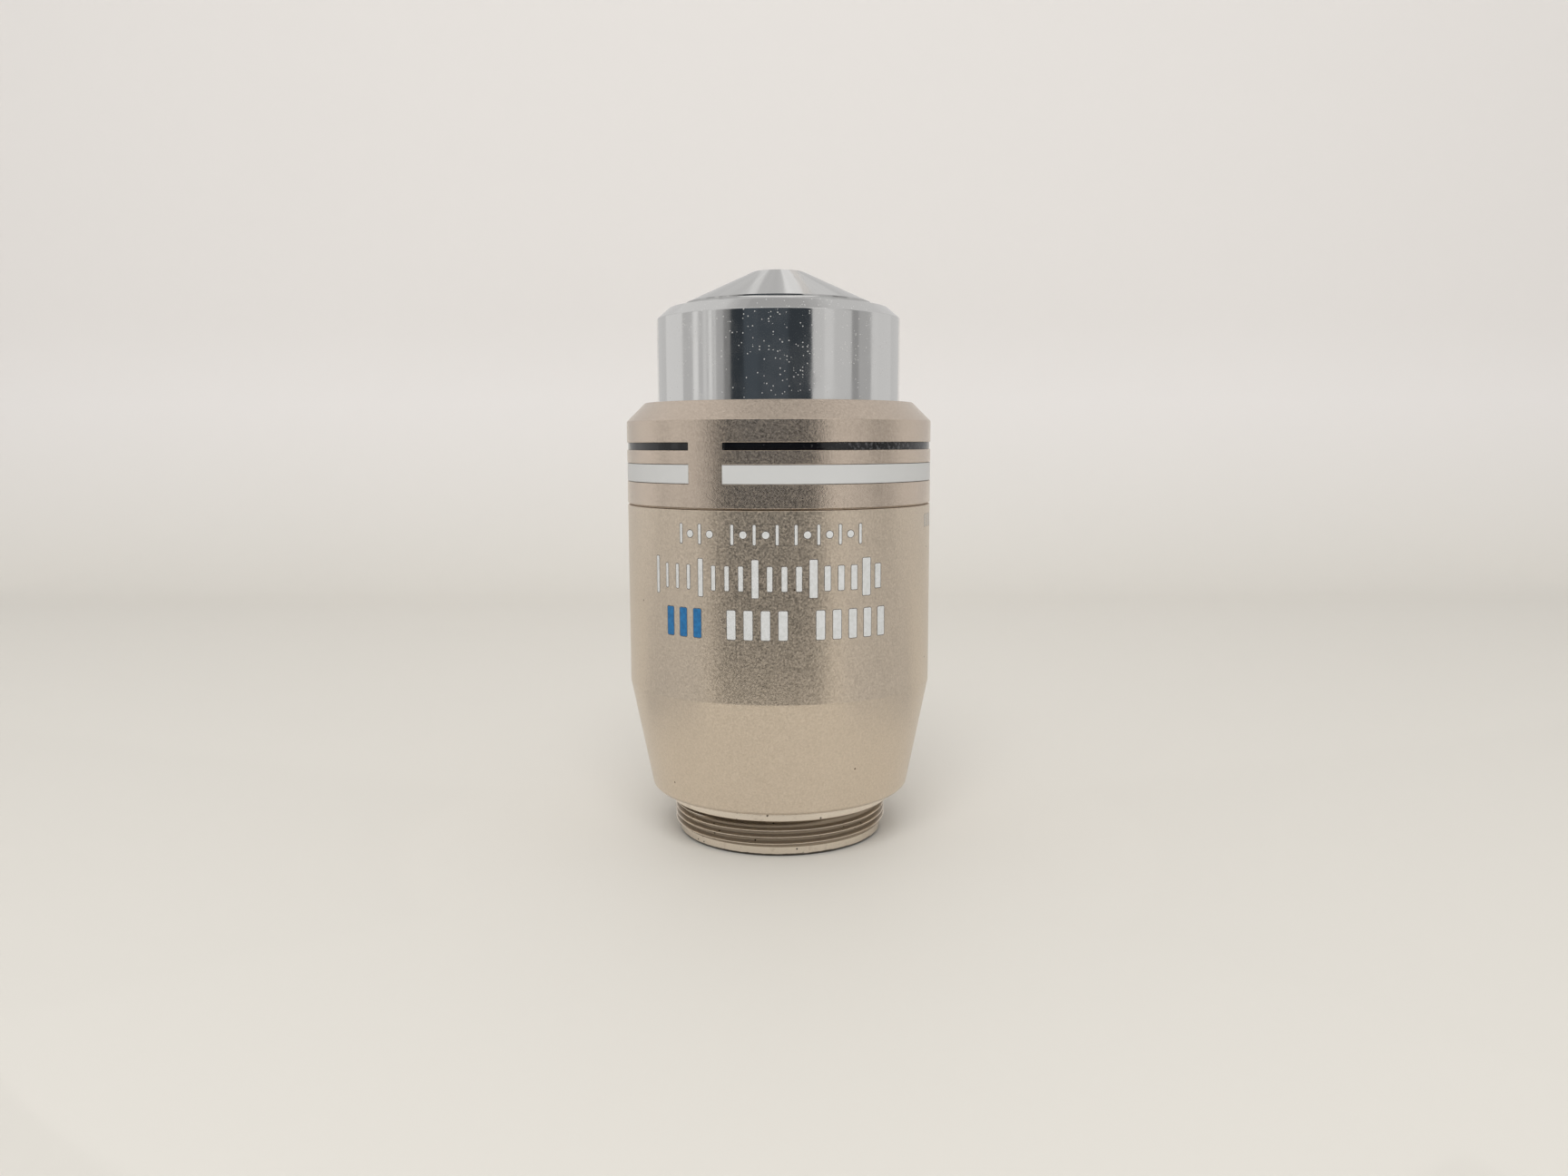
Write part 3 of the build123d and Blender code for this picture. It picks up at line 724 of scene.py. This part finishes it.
black_band.data.materials.append(black_enamel)
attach(black_band, "housing")
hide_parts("black_band")

# Print on the barrel: plain marks in white and blue enamel, each let into the satin finish with a thin
# dark edge. From the top down stand a row of strokes and dots, a scale that grows bolder to the right
# and a row of bars, and a few small strokes far round to the right.
print_edge = 0.07
print_steps = 0.6
paint_lift = 0.012
paint_depth = 0.03
edge_lift = 0.004
edge_depth = 0.02


def stamp(name, angle, height, width, tall, corner, lift, grow=0):
    """One flat mark with round corners, bent round the barrel at an angle to the right of the front.
    It grows on all sides to make the dark edge under a mark."""
    corner += grow
    bpy.ops.mesh.primitive_circle_add(
        vertices=28, radius=corner * mm, fill_type="NGON", rotation=(math.pi / 2, 0, 0)
    )
    piece = bpy.context.object
    piece.name = name
    bpy.ops.object.transform_apply()
    for vertex in piece.data.vertices:
        vertex.co.x += math.copysign(width / 2 + grow - corner, vertex.co.x) * mm
        vertex.co.z += math.copysign(tall / 2 + grow - corner, vertex.co.z) * mm
    bpy.ops.object.mode_set(mode="EDIT")
    for index in range(1, math.ceil(width / print_steps)):
        bpy.ops.mesh.select_all(action="SELECT")
        bpy.ops.mesh.bisect(plane_co=((index * print_steps - width / 2) * mm, 0, 0), plane_no=(1, 0, 0))
    bpy.ops.object.mode_set(mode="OBJECT")
    reach = (barrel_radius + lift) * mm
    for vertex in piece.data.vertices:
        turn = math.radians(angle - 90) + vertex.co.x / (barrel_radius * mm)
        vertex.co = (reach * math.cos(turn), reach * math.sin(turn), height * mm + vertex.co.z)
    return piece


def finish_print(name, pieces, paint, thickness):
    """Joins marks of one colour and gives them their thickness, down into the barrel."""
    bpy.ops.object.select_all(action="DESELECT")
    for piece in pieces:
        piece.select_set(True)
    bpy.context.view_layer.objects.active = pieces[0]
    if len(pieces) > 1:
        bpy.ops.object.join()
    whole = bpy.context.object
    whole.name = name
    coat = whole.modifiers.new("coat", "SOLIDIFY")
    coat.thickness = thickness * mm
    coat.offset = -1
    bpy.ops.object.modifier_apply(modifier="coat")
    whole.data.materials.append(paint)
    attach(whole, "housing")
    return whole


print_ink, ink_shader, ink_place = material("print_white", (0.66, 0.67, 0.67), 0.4)
rubbed = add(print_ink, "ShaderNodeTexNoise", {0: ink_place, "Scale": 2500, "Detail": 4})
join_to(print_ink, ramp(print_ink, rubbed.outputs[0], [
    (0.35, (0.60, 0.61, 0.60)), (0.6, (0.67, 0.68, 0.68)),
]), ink_shader.inputs["Base Color"])
blue_ink, blue_shader, blue_place = material("print_blue", (0.008, 0.15, 0.37), 0.35)
blue_mottle = add(blue_ink, "ShaderNodeTexNoise", {0: blue_place, "Scale": 2500, "Detail": 4})
join_to(blue_ink, ramp(blue_ink, blue_mottle.outputs[0], [
    (0.35, (0.006, 0.12, 0.31)), (0.6, (0.010, 0.165, 0.40)),
]), blue_shader.inputs["Base Color"])
edge_ink, edge_shader, edge_place = material("print_edge", (0.11, 0.095, 0.08), 0.6)
edge_mottle = add(edge_ink, "ShaderNodeTexNoise", {0: edge_place, "Scale": 4000, "Detail": 2})
join_to(edge_ink, ramp(edge_ink, edge_mottle.outputs[0], [
    (0.35, (0.08, 0.07, 0.06)), (0.65, (0.17, 0.145, 0.12)),
]), edge_shader.inputs["Base Color"])

# Each mark is an angle in degrees, a height, a width, a tallness and a corner radius.
scale_height = 31.8
scale_start = -48
scale_step = 5.0
thinnest = 0.30
bolder = 0.028
row_height = 36.4
row_step = 3.9
stroke = (row_height, 0.3, 2.1, 0.12)
dot = (row_height, 0.76, 0.76, 0.375)
side_stroke = (37.2, 0.22, 1.4, 0.1)
bar = (26.9, 0.95, 3.1, 0.15)
bar_step = 6.0
marks = []
for index in range(18):
    is_long = index % 4 == 0
    weight = (thinnest + bolder * index) * (1.35 if is_long else 1)
    tall = 4.0 if is_long else 2.6
    marks.append((scale_start + scale_step * index, scale_height, weight, tall, 0.12))
for start, count in ((-36, 4), (-16, 5), (6, 7)):
    for index in range(count):
        marks.append((start + row_step * index, *(stroke if index % 2 == 0 else dot)))
for index in range(4):
    marks.append((69 + 3 * index, *side_stroke))
for start, count in ((-16.5, 4), (14.5, 5)):
    for index in range(count):
        marks.append((start + bar_step * index, *bar))
blue_marks = [(-41.5 + bar_step * index, *bar) for index in range(3)]
white_print = finish_print("white_print", [
    stamp("mark", *mark, paint_lift) for mark in marks
], print_ink, paint_depth)
blue_print = finish_print("blue_print", [
    stamp("mark", *mark, paint_lift) for mark in blue_marks
], blue_ink, paint_depth)
print_edges = finish_print("print_edges", [
    stamp("mark", *mark, edge_lift, print_edge) for mark in marks + blue_marks
], edge_ink, edge_depth)

# Nose sleeve: turned, polished and plated. Its tiny pits and dust show where it reflects something
# dark, and it slides in the front ring's bore.
nose_radius = radius_of("nose_sleeve")
nose_low, nose_high = heights_of("nose_sleeve")
nose_chamfer_height = 1.2
nose_chamfer_depth = 1.37
sleeve_bore = 12.6
cell_bore = 10.42
end_wall = 2.5
nose_sleeve = turned("plated_nose_sleeve", [
    (sleeve_bore, nose_low),
    (nose_radius, nose_low),
    (nose_radius, nose_high - nose_chamfer_height),
    (nose_radius - nose_chamfer_depth, nose_high),
    (cell_bore, nose_high),
    (cell_bore, nose_high - end_wall),
    (sleeve_bore, nose_high - end_wall),
], edge_break=0.08)
plate_color = (0.74, 0.74, 0.735)
plate, plate_shader, plate_place = material("bright_plate", plate_color, 0.09, metallic=1)
smear = add(plate, "ShaderNodeTexNoise", {0: plate_place, "Scale": 220, "Detail": 4, "Roughness": 0.65})
plate_rough = ramp(plate, smear.outputs[0], [(0.35, 0.07), (0.6, 0.13), (0.75, 0.24)])
crowd = add(plate, "ShaderNodeTexNoise", {0: plate_place, "Scale": 260, "Detail": 3, "Roughness": 0.6})
plate_split = add(plate, "ShaderNodeSeparateXYZ", {0: plate_place})
handled = add(plate, "ShaderNodeMapRange", {
    0: plate_split.outputs[2], 1: (nose_high - 8) * mm, 2: (nose_high - 1.5) * mm, 3: -0.06, 4: 0.08,
})
dusty = add(plate, "ShaderNodeMath", {0: crowd.outputs[0], 1: handled.outputs[0]}, operation="ADD")
pit_places = []
for pit_scale, pit_size, pit_few, pit_many in ((4200, 0.28, 0.975, 0.80), (2200, 0.145, 0.975, 0.84)):
    pits = add(plate, "ShaderNodeTexVoronoi", {0: plate_place, "Scale": pit_scale, "Randomness": 1.0})
    pit_spot = add(plate, "ShaderNodeMath", {
        0: pits.outputs["Distance"], 1: pit_size,
    }, operation="LESS_THAN")
    pit_pick = add(plate, "ShaderNodeSeparateColor", {0: pits.outputs["Color"]})
    pit_chance = add(plate, "ShaderNodeMapRange", {
        0: dusty.outputs[0], 1: 0.40, 2: 0.66, 3: pit_few, 4: pit_many,
    })
    pit_rare = add(plate, "ShaderNodeMath", {
        0: pit_pick.outputs[0], 1: pit_chance.outputs[0],
    }, operation="GREATER_THAN")
    pit_places.append(add(plate, "ShaderNodeMath", {
        0: pit_spot.outputs[0], 1: pit_rare.outputs[0],
    }, operation="MULTIPLY"))
pit_mask = add(plate, "ShaderNodeMath", {
    0: pit_places[0].outputs[0], 1: pit_places[1].outputs[0],
}, operation="MAXIMUM")
haze = add(plate, "ShaderNodeMapRange", {0: crowd.outputs[0], 1: 0.45, 2: 0.75, 3: 0.0, 4: 0.03})
dull = add(plate, "ShaderNodeMath", {0: pit_mask.outputs[0], 1: haze.outputs[0]}, operation="MAXIMUM")
pit_color = add(plate, "ShaderNodeMix", {
    "Factor": pit_mask.outputs[0], 6: (*plate_color, 1), 7: (0.56, 0.56, 0.55, 1),
}, data_type="RGBA")
join_to(plate, pit_color.outputs[2], plate_shader.inputs["Base Color"])
join_to(plate, plate_rough, plate_shader.inputs["Roughness"])
pit_metal = add(plate, "ShaderNodeMath", {0: 1.0, 1: dull.outputs[0]}, operation="SUBTRACT")
join_to(plate, pit_metal.outputs[0], plate_shader.inputs["Metallic"])
nose_sleeve.data.materials.append(plate)
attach(nose_sleeve, "nose")
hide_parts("nose_sleeve")

# Front cell: the cone at the tip, turned and plated. Fine circular tool marks spread the light on it
# into wedges, and its colour also turns a little lighter and darker in wedges round the axis, painted
# reflections of those wedges. Under the cone's dark lower edge it has a light sloping rim, and in its
# middle the opening and the seats of the small front lens.
skirt_radius = radius_of("front_cell")
cell_low, tip = heights_of("front_cell")
cell_spigot = 8.98
skirt_low = nose_high
undercut_depth = 0.25
undercut_height = 0.08
rim_top = skirt_low + 0.44
rim_slope = 0.20
cone_inset = 0.27
cone_low = skirt_low + 0.63
corner_rise = 0.02
tip_radius = 3.0
opening_radius = 1.97
opening_depth = 0.55
lens_bore = 2.62
lens_ring_bore = 3.9
lens_ring_top = tip - 0.95
lens_ring_low = tip - 2.7
passage_bore = 5.62
passage_low = 59.0
cell_thread_bore = 7.6
front_cell = turned("turned_front_cell", [
    (cell_thread_bore, cell_low),
    (cell_spigot, cell_low),
    (cell_spigot, skirt_low),
    (skirt_radius - undercut_depth, skirt_low),
    (skirt_radius - undercut_depth, skirt_low + undercut_height),
    (skirt_radius, skirt_low + undercut_height + corner_rise),
    (skirt_radius - rim_slope, rim_top),
    (skirt_radius - cone_inset, rim_top + corner_rise),
    (skirt_radius - cone_inset, cone_low),
    (tip_radius, tip),
    (opening_radius, tip),
    (lens_bore, tip - opening_depth),
    (lens_bore, lens_ring_top),
    (lens_ring_bore, lens_ring_top),
    (lens_ring_bore, lens_ring_low),
    (passage_bore, lens_ring_low),
    (passage_bore, passage_low),
    (cell_thread_bore, passage_low),
], edge_break=0.025)
turning, turning_shader, turning_place = material("turned_plate", (0.60, 0.60, 0.59), 0.09, metallic=1)
turning_shader.inputs["Anisotropic"].default_value = 0.6
turning_split = add(turning, "ShaderNodeSeparateXYZ", {0: turning_place})
turning_angle = add(turning, "ShaderNodeMath", {
    0: turning_split.outputs[1], 1: turning_split.outputs[0],
}, operation="ARCTAN2")
# Painted reflection: the base colour goes lighter and darker in wedges round the axis, echoing the
# highlights of the turning marks.
painted_wedges = add(turning, "ShaderNodeTexNoise", {"W": turning_angle.outputs[0], "Scale": 3.2, "Detail": 3},
             noise_dimensions="1D")
join_to(turning, ramp(turning, painted_wedges.outputs[0], [
    (0.36, (0.55, 0.55, 0.545)), (0.50, (0.575, 0.575, 0.57)), (0.62, (0.61, 0.61, 0.605)),
]), turning_shader.inputs["Base Color"])
tangent = add(turning, "ShaderNodeTangent", direction_type="RADIAL", axis="Z")
join_to(turning, tangent.outputs[0], turning_shader.inputs["Tangent"])
front_cell.data.materials.append(turning)
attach(front_cell, "nose")
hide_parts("front_cell")

# Return spring: bright drawn steel wire with its ends ground flat, in the chamber of the housing.
spring_low, spring_high = heights_of("return_spring")
spring_wire = 0.75
spring_mean = 12.06
spring_turns = 5.5
spring_pitch = (spring_high - spring_low - spring_wire) / spring_turns
bpy.ops.mesh.primitive_circle_add(
    vertices=20, radius=spring_wire * mm, rotation=(math.pi / 2, 0, 0),
    location=(spring_mean * mm, 0, (spring_low - spring_wire) * mm),
)
spring = bpy.context.object
spring.name = "coil_spring"
bpy.ops.object.transform_apply()
winding = spring.modifiers.new("winding", "SCREW")
winding.axis = "Z"
winding.steps = winding.render_steps = 64
winding.screw_offset = spring_pitch * mm
winding.iterations = 7
bpy.ops.object.modifier_apply(modifier="winding")
bpy.ops.object.mode_set(mode="EDIT")
bpy.ops.mesh.select_mode(type="EDGE")
for level, inner, outer in ((spring_low, True, False), (spring_high, False, True)):
    bpy.ops.mesh.select_all(action="SELECT")
    bpy.ops.mesh.bisect(
        plane_co=(0, 0, level * mm), plane_no=(0, 0, 1), clear_inner=inner, clear_outer=outer,
        threshold=0.00001 * mm,
    )
bpy.ops.mesh.select_mode(type="VERT")
bpy.ops.mesh.select_all(action="SELECT")
bpy.ops.mesh.remove_doubles(threshold=0.0005 * mm)
bpy.ops.mesh.select_all(action="DESELECT")
bpy.ops.mesh.select_non_manifold()
bpy.ops.mesh.fill()
bpy.ops.mesh.select_all(action="SELECT")
bpy.ops.mesh.normals_make_consistent(inside=False)
bpy.ops.object.mode_set(mode="OBJECT")
bpy.ops.object.shade_smooth_by_angle(angle=math.radians(40))
steel, steel_shader, steel_place = material("bright_steel", (0.56, 0.56, 0.57), 0.26, metallic=1)
scratch = add(steel, "ShaderNodeTexNoise", {0: steel_place, "Scale": 1500, "Detail": 4})
steel_rough = ramp(steel, scratch.outputs[0], [(0.3, 0.2), (0.7, 0.36)])
join_to(steel, steel_rough, steel_shader.inputs["Roughness"])
spring.data.materials.append(steel)
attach(spring, "housing")
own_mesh(spring)
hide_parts("return_spring")

# Everything inside keeps its CAD shape: turned brass, blackened brass against stray light, steel
# screws and polished glass.
brass, brass_shader, brass_place = material("turned_brass", (0.60, 0.44, 0.22), 0.33, metallic=1)
tarnish = add(brass, "ShaderNodeTexNoise", {0: brass_place, "Scale": 400, "Detail": 5})
brass_rough = ramp(brass, tarnish.outputs[0], [(0.3, 0.26), (0.7, 0.42)])
join_to(brass, brass_rough, brass_shader.inputs["Roughness"])
oxide, oxide_shader, oxide_place = material("black_oxide", (0.018, 0.018, 0.019), 0.55)
sheen = add(oxide, "ShaderNodeTexNoise", {0: oxide_place, "Scale": 1200, "Detail": 4})
oxide_rough = ramp(oxide, sheen.outputs[0], [(0.3, 0.45), (0.7, 0.65)])
join_to(oxide, oxide_rough, oxide_shader.inputs["Roughness"])
glass, glass_shader = material("coated_glass", (0.93, 0.96, 0.95), 0.02)[:2]
glass_shader.inputs["Transmission Weight"].default_value = 1
glass_shader.inputs["IOR"].default_value = 1.52
finishes = {
    "dull_brass": brass,
    "black_oxide": oxide,
    "bright_steel": steel,
    "optical_glass": glass,
}
for subpart in frame["record"]["subparts"]:
    if subpart["material_slot"] in finishes:
        node = frame["nodes"][subpart["node"]]
        node.data.materials.clear()
        node.data.materials.append(finishes[subpart["material_slot"]])
